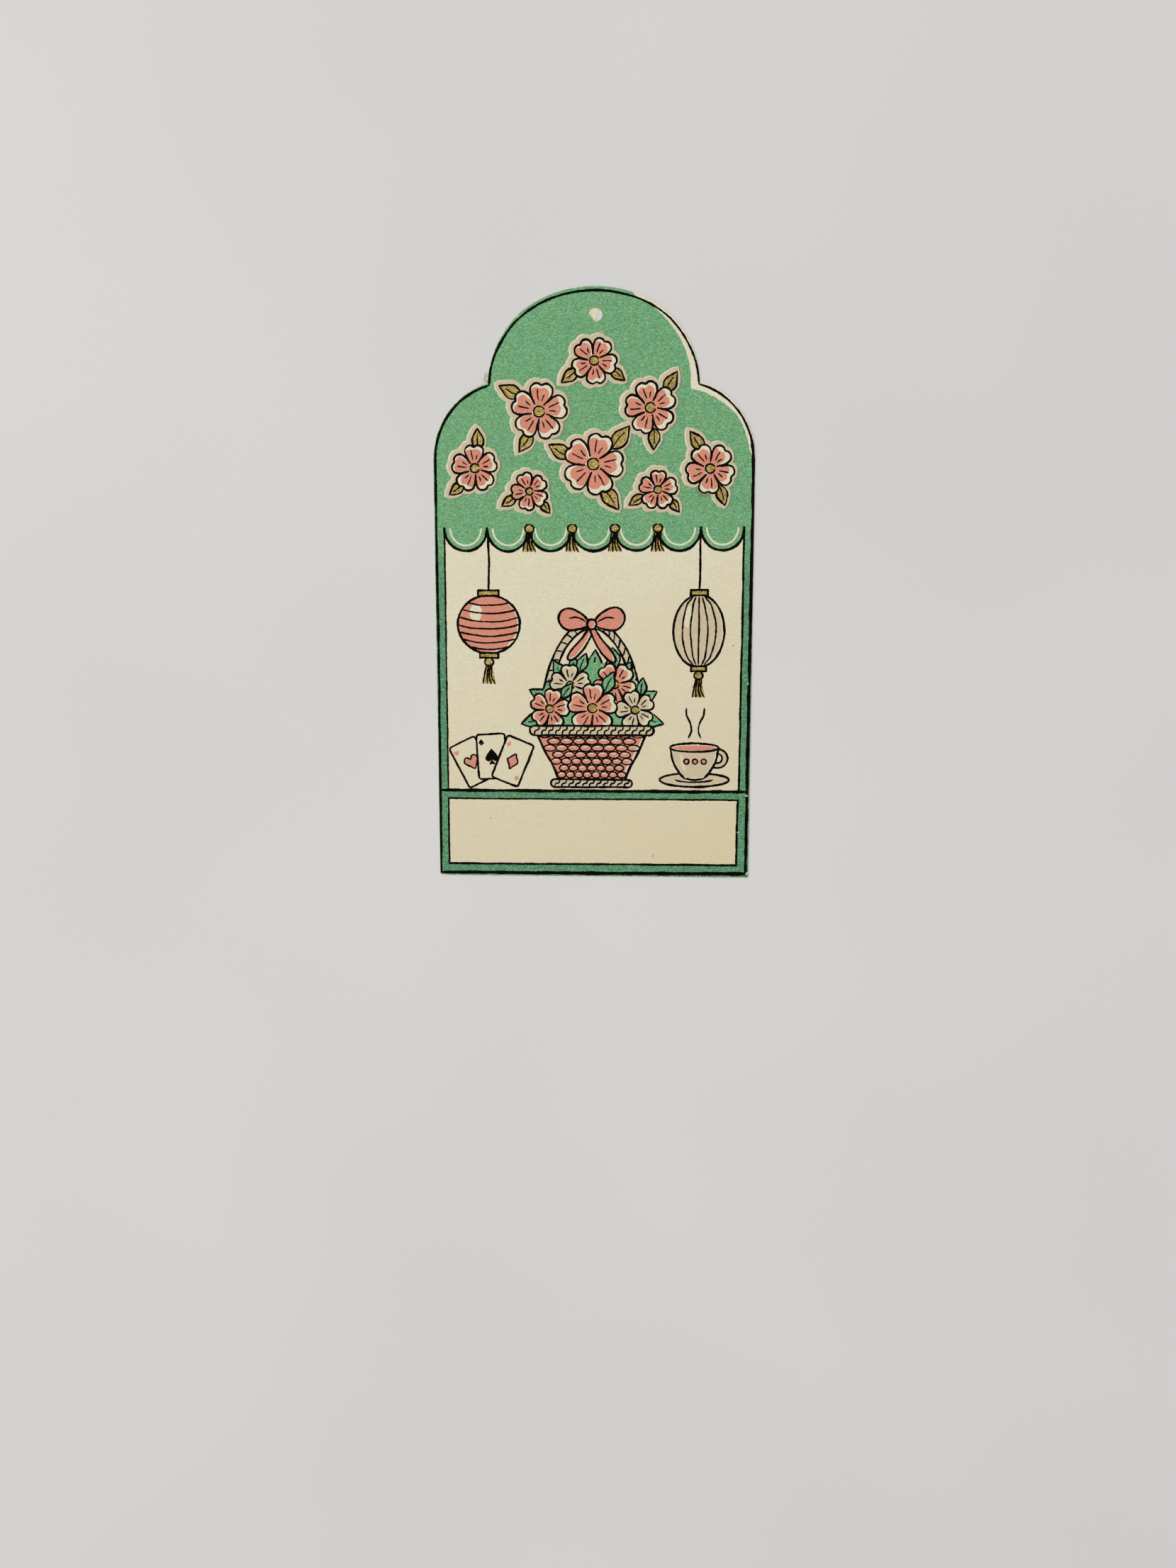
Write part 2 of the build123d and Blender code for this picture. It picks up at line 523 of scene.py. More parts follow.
# %% Two lanterns on their cords
def lantern(centre, across, up, ink, ribs, along_body):
    """A lantern under its cord: its ribs run along the body, or across it."""
    x, y = centre
    pen([(x, window_top - 0.4), (x + 0.15, (window_top + y + up) / 2), (x, y + up + 1.2)], 0.34)
    body = oval(centre, across, up)
    wipe(body)
    patch(ink, shifted(grown(body, -0.25)), rough=0.12)
    glow = oval((x - across * 0.42, y + up * 0.4), across * 0.2, up * 0.3)
    patch(ink, glow, False, rough=0.12)
    for rib in range(ribs):
        k = -1 + 2 * (rib + 1) / (ribs + 1)
        if along_body:
            turns = (0.35, 0.8, 1.57, 2.34, 2.8)
            arc = [(x + across * k * math.sin(t), y + up * math.cos(t)) for t in turns]
        else:
            lift = math.sqrt(1 - k * k)
            bows = [(s, k - 0.16 * lift * (1 - s * s)) for s in (-1, -0.5, 0, 0.5, 1)]
            arc = [(x + across * lift * s, y + up * bow) for s, bow in bows]
        pen(arc, 0.26, wander=0.12)
    pen(body, 0.42, closed=True, wander=0.08)
    collar((x, y + up + 0.5), across * 0.66)
    collar((x, y - up - 0.4), across * 0.6, 1.2)
    tassel((x, y - up - 1.0), 6.2)


cusps = [middle.x + half_scallop for middle in scallop_middles[:-1]]
lantern((cusps[0] + 0.2, 61.8), 7.5, 7.0, "coral", 7, along_body=False)
lantern((cusps[-1] - 0.2, 60.2), 6.1, 8.6, "beige", 5, along_body=True)
for x in cusps[1:-1]:
    tassel((x, window_top + 0.9), 6.4)
print("2 lanterns and", len(cusps) - 2, "tassels")

# %% [markdown]
# ## A basket of flowers
# A footed wicker basket with an arched handle stands in the middle, as on many cards of the time.
# Wicker is drawn with short bowed strokes in rows, each row shifted by half a stroke from the last.

# %% A twisted rope
basket_x, stand_y, rim_y = -0.4, 22.3, 36.2
twist_pitch = 1.7


def rope(y, half, thick):
    """A twisted rope across the basket, its ends rounded."""
    shape = oval((basket_x + half, y), thick / 2, thick / 2, -90, 180)
    shape += oval((basket_x - half, y), thick / 2, thick / 2, 90, 180)
    wipe(shape)
    patch("beige", shifted(shape, 0.5), rough=0.06)
    x = basket_x - half - 0.1
    while x < basket_x + half:
        twist = [(x, y - thick / 2), (x + 0.3, y - 0.1), (x + 1.05, y + 0.15), (x + 1.3, y + thick / 2)]
        pen(twist, 0.26, wander=0.05)
        x += twist_pitch
    pen(shape, 0.4, closed=True)


print(f"rope twisted every {twist_pitch} mm")

# %% The arched handle
handle_rise, handle_half, handle_thick = 26.5, 12.6, 1.9
inner_rise, inner_half = handle_rise - handle_thick, handle_half - handle_thick
handle_middle = Vector((basket_x, rim_y))
outer = oval(handle_middle, handle_half, handle_rise, 0, 180)
inner = oval(handle_middle, inner_half, inner_rise, 180, -180)
patch("beige", shifted(outer + inner), rough=0.08)
pen(outer, 0.4)
pen(inner, 0.36)
wraps = 26
for i in range(1, wraps):
    t = math.radians(180 * i / wraps)
    near = Vector((inner_half * math.cos(t - 0.04), inner_rise * math.sin(t - 0.04)))
    far = Vector((handle_half * math.cos(t + 0.03), handle_rise * math.sin(t + 0.03)))
    near, far = near + handle_middle, far + handle_middle
    pen([near, near.lerp(far, 0.5) + Vector((0.12, 0.1)), far], 0.24)
print(f"handle {2 * handle_half:.1f} mm wide with {wraps - 1} wraps")

# %% The body, its wicker, its foot and its rim
def both_sides(middle_x, half):
    """The right and left sides of a body from one of them, its x from the middle line."""
    right = along([(middle_x + x, y) for x, y in half])
    return right, along([(middle_x - x, y) for x, y in half[::-1]])


body_half = [(8.0, 23.6), (9.0, 26.5), (11.4, 31), (13.6, rim_y)]
right_side, left_side = both_sides(basket_x, body_half)
body = right_side + left_side
wipe(body)
patch("coral", shifted(grown(body, -0.35)), rough=0.18, wave=1.4)
pen(right_side, 0.44)
pen(left_side, 0.44)
rows, per_row = 7, 8
row_height = (rim_y - stand_y - 2.4) / rows
for row in range(rows):
    y = stand_y + 2.2 + row_height * (row + 0.5)
    half = min(right_side, key=lambda p: abs(p.y - y)).x - basket_x - 0.2
    cell = 2 * half / per_row
    for i in range(per_row + row % 2):
        start_x = basket_x - half + cell * (i - 0.5 * (row % 2))
        a, b = max(start_x, basket_x - half), min(start_x + cell, basket_x + half)
        if b - a > 0.6 * cell:
            twig = oval(((a + b) / 2, y), (b - a) * 0.5, row_height * 0.47, step=0.3)
            glint = oval(((a + b) / 2 - 0.15, y + 0.36), (b - a) * 0.28, 0.17, step=0.2)
            patch("coral", glint, False, rough=0.04)
            pen(twig, 0.22, closed=True, wander=0.05)
rope(stand_y + 0.9, 9.0, 1.9)
rim_half, rim_thick = 13.9, 2.3
rope(rim_y, rim_half, rim_thick)
print("basket with", rows, "rows of wicker")

# %% [markdown]
# ## The flowers in the basket and the bow
# What stands in front is drawn last and clears what is behind it, so the order of calls is the depth.
# The blossoms are the same ones as on the green, some coral and some beige, with green leaves between.
# The rim is drawn once more at the end, because the lowest flowers hang behind it.

# %% Leaves and flowers
tuft = ((-14.5, 38.6, 195), (-12.8, 44.6, 150), (-8.0, 50.4, 122), (0.4, 52.6, 88), (7.6, 50.2, 58))
for x, y, way in (*tuft, (12.6, 44.2, 28), (14.0, 38.6, -14), (-4.4, 51.4, 105), (4.6, 52.0, 72)):
    base = placed([(-3.4, 0)], (x, y), way)[0]
    leaf(base, 6.6, way, "green", False)
mound_left = [(-14.2, 37), (-13.6, 43), (-9.0, 49.5)]
mound_right = [(8.6, 49.8), (13.2, 43.2), (13.8, 37)]
mound = along([*mound_left, (0, 52.6), *mound_right])
wipe(mound)
patch("green", shifted(mound), rough=0.3, wave=1.6)
bunch = (
    ((-5.6, 47.2), 5.0, 20, "beige"),
    ((5.2, 47.4), 5.2, 50, "coral"),
    ((-10.6, 41.4), 4.9, 5, "coral"),
    ((10.2, 41.2), 4.7, 33, "beige"),
    ((-0.2, 41.6), 6.0, 16, "coral"),
)
for centre, reach, turn, ink in bunch:
    blossom(centre, reach, turn, (turn + 36,), ink, on_green=False)
rope(rim_y, rim_half, rim_thick)
print(len(bunch), "flowers in the basket")

# %% The bow
knot = Vector((basket_x, rim_y + handle_rise - 0.9))
bow_loop = along([(0, 0), (2.6, 2.9), (6.2, 4.0), (8.0, 1.6), (6.2, -1.2), (2.8, -1.1), (0, 0)])[:-1]
tail_line = [(0.2, -0.2), (2.4, -3.6), (5.2, -7.0), (5.6, -9.0), (3.6, -8.2), (1.0, -4.6), (-0.6, -0.5)]
bow_tail = [Vector(p) for p in tail_line]
for sign in (-1, 1):
    for shape in (bow_tail, bow_loop):
        ribbon = [knot + Vector((p.x * sign, p.y * (0.94 if sign < 0 else 1))) for p in shape]
        wipe(ribbon)
        patch("coral", shifted(ribbon), rough=0.08)
        pen([*ribbon, ribbon[0]], 0.38, step=0.3)
    pen([knot + Vector((sign * x, y)) for x, y in ((1.3, 0.6), (3.4, 1.6), (5.4, 1.5))], 0.26)
wipe(oval(knot, 1.15, 1.25))
cut("coral", oval(knot + plate_shift, 1.0, 1.1))
pen(oval(knot, 1.15, 1.25), 0.38, closed=True)
print(f"bow tied {knot.y:.1f} mm above the foot")

# %% [markdown]
# ## A hand of cards
# The corners hold what an evening of bridge is about, and the left one has a fanned hand of cards.
# The suit signs are common property, drawn here from the same smooth lines as everything else.
# Every card stands on one pivot and leans by its own angle, as cards in a hand do.

# %% Three playing cards
heart_shape = mirrored([(-0.5, 0), (-0.1, 0.34), (0.22, 0.48), (0.42, 0.24), (0.22, 0)])
spade_half = [(0.55, 0), (0.1, 0.36), (-0.2, 0.44), (-0.34, 0.18), (-0.22, 0.04)]
spade_shape = mirrored([*spade_half, (-0.52, 0.2), (-0.52, 0)])
diamond_shape = mirrored([(-0.58, 0), (-0.28, 0.17), (0, 0.38), (0.28, 0.17), (0.58, 0)])
half_card, tall, rounding = 3.5, 11.0, 0.7


def playing_card(pivot, lean, sign, ink):
    """One card standing on its pivot, leaning by degrees, with a large sign and two small ones."""
    corners = [(-half_card, 0), (half_card, 0), (half_card, tall), (-half_card, tall)]
    edge = []
    for i, (x, y) in enumerate(corners):
        middle = (x - math.copysign(rounding, x), y - rounding if y else rounding)
        edge += oval(middle, rounding, rounding, 180 + 90 * i, 90)
    edge = placed(edge, pivot, lean)
    wipe(edge)
    pen(edge, 0.38, closed=True, wander=0.05)
    for x, y, size in ((0, tall / 2, 3.6), (-2.4, tall - 1.9, 1.4), (2.4, 1.9, 1.4)):
        place = placed([(x, y)], pivot, lean)[0]
        patch(ink, placed(sign, place, lean + (90 if size > 2 or x < 0 else -90), size), rough=0.03)
        if ink == "coral" and size > 2:
            pen(placed(sign, place, lean + 90, size)[::3], 0.24, closed=True, wander=0.04)


hand_pivot = Vector((-24.4, 23.2))
hand = (
    (27, -2.9, heart_shape, "coral"),
    (3, -0.2, spade_shape, "black"),
    (-22, 2.6, diamond_shape, "coral"),
)
for lean, shift, sign, ink in hand:
    playing_card(hand_pivot + Vector((shift, 1.1 - 0.3 * abs(shift))), lean, sign, ink)
print(len(hand), "cards in the hand")

# %% [markdown]
# ## A cup of tea
# Seen from a little above, a cup is an oval over a bowl, and its handle is a ring behind the bowl.
# The saucer is drawn first, then the handle, the bowl and the tea, so each hides what it stands before.

# %% A cup of tea on its saucer
cup_x, saucer_y = 24.6, 24.2
saucer = oval((cup_x, saucer_y), 8.4, 1.7)
patch("beige", shifted(saucer), rough=0.08)
pen(saucer, 0.4, closed=True)
pen(oval((cup_x, saucer_y + 0.15), 4.6, 0.7, 190, 160), 0.26)
ring = oval((cup_x + 5.6, saucer_y + 5.3), 2.5, 2.3)
patch("beige", ring, rough=0.05)
grip = oval((cup_x + 5.5, saucer_y + 5.3), 1.3, 1.2)
patch("beige", grip, False, rough=0.05)
pen(ring, 0.38, closed=True)
pen(grip, 0.3, closed=True)
lip_y = saucer_y + 7.9
bowl_half = [(2.3, saucer_y + 0.3), (3.7, saucer_y + 1.9), (5.2, saucer_y + 4.6), (5.9, lip_y)]
bowl_right, bowl_left = both_sides(cup_x, bowl_half)
wipe(bowl_right + bowl_left)
patch("beige", shifted(grown(bowl_right + bowl_left, -0.15)), rough=0.08)
shine = ((-3.6, -1.6), (-3.2, -4.2), (-2.2, -5.6), (-2.4, -3.4), (-2.9, -1.6))
patch("beige", along([(cup_x + x, lip_y + y) for x, y in shine])[:-1], False, rough=0.08)
pen(bowl_right, 0.4)
pen(bowl_left, 0.4)
pen([(cup_x - 2.3, saucer_y + 0.3), (cup_x, saucer_y), (cup_x + 2.3, saucer_y + 0.3)], 0.38)
lip = oval((cup_x, lip_y), 5.9, 1.05)
wipe(lip)
patch("coral", oval((cup_x + 0.1, lip_y - 0.1), 5.1, 0.62), rough=0.05)
pen(lip, 0.38, closed=True, wander=0.04)
for x, sign in ((-1.4, 1), (1.6, -1)):
    steam = [(cup_x + x + 0.75 * sign * math.sin(1.3 * i), lip_y + 2.2 + 1.9 * i) for i in range(5)]
    pen(steam, 0.3, wander=0.15, taper=0.2)
for x in (-1.9, 0.2, 2.3):
    spot = Vector((cup_x + x, lip_y - 3.4)), 0.62, 0.62
    for plate in ("beige", "coral"):
        cut(plate, oval(*spot, step=0.2), plate == "coral")
    pen(oval(*spot, step=0.25), 0.24, closed=True, wander=0.03)
print(f"cup {lip_y - saucer_y:.1f} mm high on its saucer")

# %% [markdown]
# ## Wear on the print
# The corners and edges have lost specks of ink, down to the paper.
# Across the left band run a few fine creases, where the sheet was once bent over a finger: each is a hair
# of painted shade in black next to a hair of bare paper as a painted highlight.
# Round the cord hole the green has frayed away, but for a patch at its lower left.
# Along the left of the crown and its shoulder, and along the foot, it is rubbed off the rolled edge.

# %% Nicks and creases
nicks = (
    (37.75, 1.0, 0.36, 0.3),
    (37.45, 20.35, 0.3, 0.22),
    (35.5, 11.3, 0.22, 0.14),
    (-37.95, 0.2, 0.3, 0.2),
    (37.3, 47.6, 0.12, 0.3),
    (-23.6, 118.9, 0.2, 0.14),
)
for x, y, across, up in nicks:
    row = next(stroke_rows)
    nick = oval((x, y), across, up, step=0.12)
    wipe([p + (p - Vector((x, y))) * waver(row, i, 2.1, 0.5) for i, p in enumerate(nick)])
creases = ((-37.4, 84.4, 1.0), (-37.2, 81.9, 1.3), (-37.5, 80.3, 1.6), (-37.3, 79.0, 1.1))
creases += ((-37.5, 74.6, 0.9), (-37.4, 62.3, 1.2))
for i, (x, y, length) in enumerate(creases):
    crease_shade_line = [(x, y), (x + length / 2, y + 0.06 - 0.1 * (i % 2)), (x + length, y + 0.12)]
    # The dark hair is painted shade in the crease, and the bare hair above it is a painted highlight.
    pen(crease_shade_line, 0.07, wander=0.03, taper=0.3, step=0.2, spread=0)
    crease_highlight = [Vector(p) + Vector((0, 0.1)) for p in crease_shade_line]
    cut("green", crease_highlight + [p + Vector((0, 0.08)) for p in crease_highlight[::-1]], False)
print(len(nicks), "nicks and", len(creases), "creases")

# %% The frayed hole and the scuffed edge
hole_low, hole_high = [Vector([pick(p[i] for p in cord_hole) for i in (0, 1)]) for pick in (min, max)]
hole_middle = (hole_low + hole_high) / 2
frayed = oval(hole_middle + Vector((-0.24, -0.06)), 1.52, 1.56, step=0.12)
patch("green", frayed, False, rough=0.14, wave=0.5)
still_whole = ((-1.9, 0.25), (-1.25, -0.1), (-0.8, -0.55), (-0.55, -1.15), (-0.1, -1.55))
still_whole += ((-0.7, -2.1), (-1.8, -1.6))
patch("green", [hole_middle + Vector(p) for p in still_whole], rough=0.08, wave=0.4)
crown_left = [p for p in crown if p.x < -3]
foot_run = [(-side + 1, 0), (0, 0), (side - 0.5, 0)]
for run, worn in ((crown_left, -0.02), (left_shoulder, -0.02), (foot_run, 0.04)):
    run = along(run, step=0.3)
    patch("green", inset(run, -0.4) + inset(run, worn)[::-1], False, rough=0.12, wave=0.8)
print(f"hole frayed to {area_mm2(frayed):.1f} square mm")

# %% [markdown]
# ## Printing the sheet
# Ink on paper is a film a few microns thick, and a picture laid over the sheet could stand for it.
# Here it is geometry instead: the shapes are filled with flat triangles just above the printed face.
# Every edge stays sharp at any zoom, and the part needs no picture file.
# One filling takes the shapes of all the colour plates at once, so films that meet share an edge.
# In each triangle, the last shape of each plate says whether that plate prints there.

# %% Fill the sheet with triangles
edge_roll = (card_width - 2 * max(p.x for p in outline)) / 2
round_edge = math.radians(45)
rim_out, rim_down = edge_roll * math.sin(round_edge), edge_roll * (1 - math.cos(round_edge))


def within(box, x, y):
    """Whether a spot lies in a shape's box, since the filling may name a shape that is elsewhere."""
    return box[0] <= x <= box[2] and box[1] <= y <= box[3]


def printed(names):
    """The points of the filled sheet, those on its rolled rim, and each triangle with its plates."""
    shapes = [(None, grown(outline, rim_out), True), (None, outline, True), (None, cord_hole, True)]
    shapes += [(name, loop, inked) for name in names for loop, inked in plates[name]]
    points, faces, boxes = [], [], []
    for _, loop, _ in shapes:
        faces.append(list(range(len(points), len(points) + len(loop))))
        points += loop
        boxes.append([pick(p[i] for p in loop) for pick in (min, max) for i in (0, 1)])
    spots, _, triangles, _, _, covers = geometry.delaunay_2d_cdt(points, [], faces, 1, 1e-5, True)
    filled, on_flat = [], set()
    for corners, covering in zip(triangles, covers):
        x, y = sum((spots[i] for i in corners), Vector((0, 0))) / 3
        over = [i for i in covering if within(boxes[i], x, y)]
        if 0 in over and 2 not in over:
            last = {shapes[i][0]: shapes[i][2] for i in sorted(over)}
            filled.append((corners, {name for name, inked in last.items() if name and inked}))
            if 1 in over:
                on_flat.update(corners)
    rim = {i for corners, _ in filled for i in corners} - on_flat
    return spots, rim, filled


print(f"the ink reaches {rim_out:.3f} mm over the sheet's rolled edge of {edge_roll:.2f} mm")

# %% [markdown]
# ## Fewer triangles
# The filling has a corner wherever two shapes cross, and most of those do nothing inside a film.
# So the flat part of each film is filled once more, from its edge alone.
# That filling covers the holes as well, so only what a flood from the edge reaches is kept.
# If it then doesn't cover the same ground, the first filling stays.

# %% Fill a film again from its edge
def sides_of(corners):
    return zip(corners, (*corners[1:], corners[0]))


def ground(spots, triangles):
    """The area of these triangles in square millimetres."""
    return sum((spots[b] - spots[a]).cross(spots[c] - spots[a]) / 2 for a, b, c in triangles)


def relaid(spots, triangles):
    """The same ground in fewer triangles, with no corner that isn't on its edge."""
    sides = {side for corners in triangles for side in sides_of(corners)}
    edge = sorted((a, b) for a, b in sides if (b, a) not in sides)
    used = sorted({i for side in edge for i in side})
    index = {i: n for n, i in enumerate(used)}
    lines = [(index[a], index[b]) for a, b in edge]
    points = [spots[i] for i in used]
    _, _, filling, sources, _, _ = geometry.delaunay_2d_cdt(points, lines, [], 0, 1e-7, True)
    if not all(sources):
        return triangles
    found = {n: here for here, source in enumerate(sources) for n in source}
    walls = {(found[a], found[b]) for a, b in lines}
    owner = {side: tuple(corners) for corners in filling for side in sides_of(corners)}
    kept, waiting = set(), [owner[wall] for wall in walls if wall in owner]
    while waiting:
        corners = waiting.pop()
        if corners not in kept:
            kept.add(corners)
            inner = [(b, a) for a, b in sides_of(corners) if (a, b) not in walls]
            waiting += [owner[side] for side in inner if side in owner]
    again = [[used[sources[i][0]] for i in corners] for corners in sorted(kept)]
    astray = abs(ground(spots, again) - ground(spots, triangles))
    return again if astray < 0.01 else triangles


square = [Vector(p) for p in ((0, 0), (1, 0), (1, 1), (0, 1), (0.5, 0.5))]
quarters = [(0, 1, 4), (1, 2, 4), (2, 3, 4), (3, 0, 4)]
print("a square of 4 triangles is laid again with", len(relaid(square, quarters)))

# %% [markdown]
# ## Films of ink
# Where two inks meet, the stronger one shows: gold over coral, and coral over everything pale.
# Green over beige shows as a third, greyer colour, as it does along the right side of each blossom.
# Each film is given a little thickness, and the key black goes on last and stands highest.

# %% Turn the triangles into films
def put(name, data):
    """An object with this data, linked to the scene."""
    thing = bpy.data.objects.new(name, data)
    bpy.context.scene.collection.objects.link(thing)
    return thing


def film(name, spots, rim, triangles, height, depth):
    """A film with its top so many millimetres above the face, rolled down over the sheet's rim."""
    flat = [corners for corners in triangles if rim.isdisjoint(corners)]
    triangles = relaid(spots, flat) + [corners for corners in triangles if not rim.isdisjoint(corners)]
    used = sorted({i for corners in triangles for i in corners})
    index = {i: n for n, i in enumerate(used)}
    tops = [face_z + (height - rim_down * (i in rim)) * MM for i in used]
    points = [(spots[i].x * MM, spots[i].y * MM + foot_y, top) for i, top in zip(used, tops)]
    mesh = bpy.data.meshes.new(name)
    mesh.from_pydata(points, [], [[index[i] for i in corners] for corners in triangles])
    ink = put(name, mesh)
    body = ink.modifiers.new("ink body", "SOLIDIFY")
    body.thickness, body.offset = depth * MM, -1
    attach(ink, "root")
    print(f"{name}: {len(triangles)} triangles, {ground(spots, triangles):.0f} square mm")
    return ink


def shown(inks):
    """The film that is seen where these plates print."""
    if "gold" in inks or "coral" in inks:
        return "gold_print" if "gold" in inks else "coral_print"
    if "green" in inks:
        return "overprint" if "beige" in inks else "green_print"
    return "beige_print" if inks else None


spots, rim, filled = printed(["green", "beige", "coral", "gold"])
films = {}
for corners, inks in filled:
    films.setdefault(shown(inks), []).append(corners)
films.pop(None)
colour_height, colour_depth = 0.01, 0.008
key_height, key_depth = 0.018, 0.014
levels = colour_height, colour_depth
prints = {name: film(name, spots, rim, corners, *levels) for name, corners in films.items()}
spots, rim, filled = printed(["black"])
key_corners = [corners for corners, inks in filled if inks]
prints["black_print"] = film("black_print", spots, rim, key_corners, key_height, key_depth)

# %% [markdown]
# ## How the finishes are mixed
# A colour is written as the hex value that a screen shows, and a shader counts in linear light.
# One function turns the one into the other, and another adds any node with its settings and links.
# Grain has real sizes, so every pattern below reads the place on the sheet in millimetres.

# %% Colour, nodes and millimetres
def linear(hex_colour):
    """The linear numbers of an sRGB hex colour."""
    parts = [int(hex_colour[i : i + 2], 16) / 255 for i in (1, 3, 5)]
    return [p / 12.92 if p <= 0.04045 else ((p + 0.055) / 1.055) ** 2.4 for p in parts] + [1]


def add(tree, kind, inputs, stops=(), **settings):
    """A node with its settings, its inputs given a value or an output, and any (place, hex) stops."""
    node = tree.nodes.new("ShaderNode" + kind)
    for name, value in settings.items():
        setattr(node, name, value)
    for key, value in inputs.items():
        if isinstance(value, bpy.types.NodeSocket):
            tree.links.new(value, node.inputs[key])
        else:
            node.inputs[key].default_value = value
    for _ in stops[2:]:
        node.color_ramp.elements.new(1)
    for i, (position, colour) in enumerate(stops):
        node.color_ramp.elements[i].position = position
        node.color_ramp.elements[i].color = linear(colour)
    return node


def new_finish(name, **uniform):
    """A material with its shader set, and the place on the sheet in millimetres to draw patterns by."""
    material = bpy.data.materials.new(name)
    material.use_nodes = True
    tree = material.node_tree
    shader = tree.nodes["Principled BSDF"]
    for key, value in uniform.items():
        shader.inputs[key.replace("_", " ")].default_value = value
    here = add(tree, "TexCoord", {}).outputs["Object"]
    place = add(tree, "VectorMath", {0: here, 3: 1 / MM}, operation="SCALE").outputs[0]
    return material, tree, shader, place


def flecks(tree, place, across, up, detail=3, **more):
    """Grain with flecks so many millimetres across and up, as the value of smooth noise."""
    sizes = {0: place, 1: (1 / across, 1 / up, 0), 2: (0.3, 0.6, 0.45)}
    stretched = add(tree, "VectorMath", sizes, operation="MULTIPLY_ADD").outputs[0]
    grain = {"Vector": stretched, "Scale": 1, "Detail": detail, "Roughness": 0.6, **more}
    return add(tree, "TexNoise", grain).outputs[0]


def specks(tree, place, apart, small, large, share, rarity):
    """A share for round specks, small to large across in millimetres, and some left out by rarity."""
    cells = add(tree, "TexVoronoi", {"Vector": place, "Scale": 1 / apart})
    near = {0: cells.outputs["Distance"], 1: small / 2 / apart, 2: large / 2 / apart, 3: share, 4: 0}
    shape = add(tree, "MapRange", near).outputs[0]
    chance = add(tree, "SeparateColor", {0: cells.outputs["Color"]}).outputs[0]
    kept = add(tree, "Math", {0: chance, 1: rarity}, operation="GREATER_THAN").outputs[0]
    return add(tree, "Math", {0: shape, 1: kept}, operation="MULTIPLY").outputs[0]


def coated(tree, colour, *coats):
    """A colour with coats laid over it in turn, each given as its share and its own colour."""
    for share, over in coats:
        colour = add(tree, "Mix", {0: share, 6: colour, 7: over}, data_type="RGBA").outputs[2]
    return colour


def dressed(tree, shader, colour, height, deep, strength):
    """The shader given its colour, and a relief so many millimetres deep by a pattern's height."""
    rise = {"Height": height, "Distance": deep * MM, "Strength": strength}
    tree.links.new(colour, shader.inputs["Base Color"])
    tree.links.new(add(tree, "Bump", rise).outputs[0], shader.inputs["Normal"])


print("a screen's mid grey is", round(linear("#808080")[0], 3), "in linear light")

# %% [markdown]
# ## Felt-finish card stock
# The sheet is uncoated cream card with a felt finish: wet pulp was pressed by a woven felt on rollers.
# That leaves low ridges, longer across the sheet than along it, and a dry surface with almost no gloss.
# A few dark fibres are caught in the pulp, as in any cheap stock of the time.
# It is painted darker and browner towards the foot and its right corner, as shade where the light from
# the upper left falls off.
# Where the hole has torn, the pulp is raw, paler and fluffy, so the colour changes round it.

# %% The card stock
dry = {"Roughness": 0.88, "Specular_IOR_Level": 0.12}
card_stock, tree, shader, place = new_finish("felt_finish_card_stock", **dry)
ridges = flecks(tree, place, 0.7, 0.19)
paper_shades = ((0.22, "#D4CBAB"), (0.5, "#E2DBC0"), (0.78, "#EEE9D4"))
paper = add(tree, "ValToRGB", {0: ridges}, paper_shades).outputs[0]
clouds = add(tree, "TexNoise", {"Vector": place, "Scale": 1 / 26, "Detail": 2}).outputs[0]
cloudy = add(tree, "MapRange", {0: clouds, 1: 0.42, 2: 0.7, 4: 0.3}).outputs[0]
slant = {0: place, 1: (-0.35, 1, 0)}
up_slant = add(tree, "VectorMath", slant, operation="DOT_PRODUCT").outputs["Value"]
foot = foot_y / MM
# Painted shade: darker and browner towards the foot and the right corner, where the light falls off.
falloff_shade = add(tree, "MapRange", {0: up_slant, 1: foot - 10, 2: foot + 85, 3: 0.62, 4: 0}).outputs[0]
dark_fibres = specks(tree, place, 5, 0.3, 0.5, share=0.75, rarity=0.55)
hole_spot = (hole_middle.x, hole_middle.y + foot, face_z / MM)
from_hole = add(tree, "VectorMath", {0: place, 1: hole_spot}, operation="DISTANCE").outputs["Value"]
torn = add(tree, "MapRange", {0: from_hole, 1: 1.3, 2: 1.9, 3: 0.8, 4: 0}).outputs[0]
fluff = flecks(tree, place, 0.22, 0.2, detail=4)
fluff_shades = ((0.35, "#D9D0AC"), (0.6, "#F0EBD8"))
raw_pulp = add(tree, "ValToRGB", {0: fluff}, fluff_shades).outputs[0]
cloud, painted_shade_tone, fibre_brown = [linear(colour) for colour in ("#DDD1AC", "#D3C39D", "#8E7350")]
coats = (cloudy, cloud), (falloff_shade, painted_shade_tone), (dark_fibres, fibre_brown), (torn, raw_pulp)
dressed(tree, shader, coated(tree, paper, *coats), ridges, 0.03, 0.3)
for slot in sheet.material_slots:
    slot.material = card_stock
print("card stock on", len(sheet.material_slots), "slot")

# %% [markdown]
# ## Flat printing inks
# The colours are flat oil inks from zinc plates, rolled on stiff and dry, so they lie matt on the felt.
# The plate skips the hollows of the paper, which leaves pale flecks that lie along the felt.
# The narrow green bands took more ink than the wide field, so there the green is deeper.

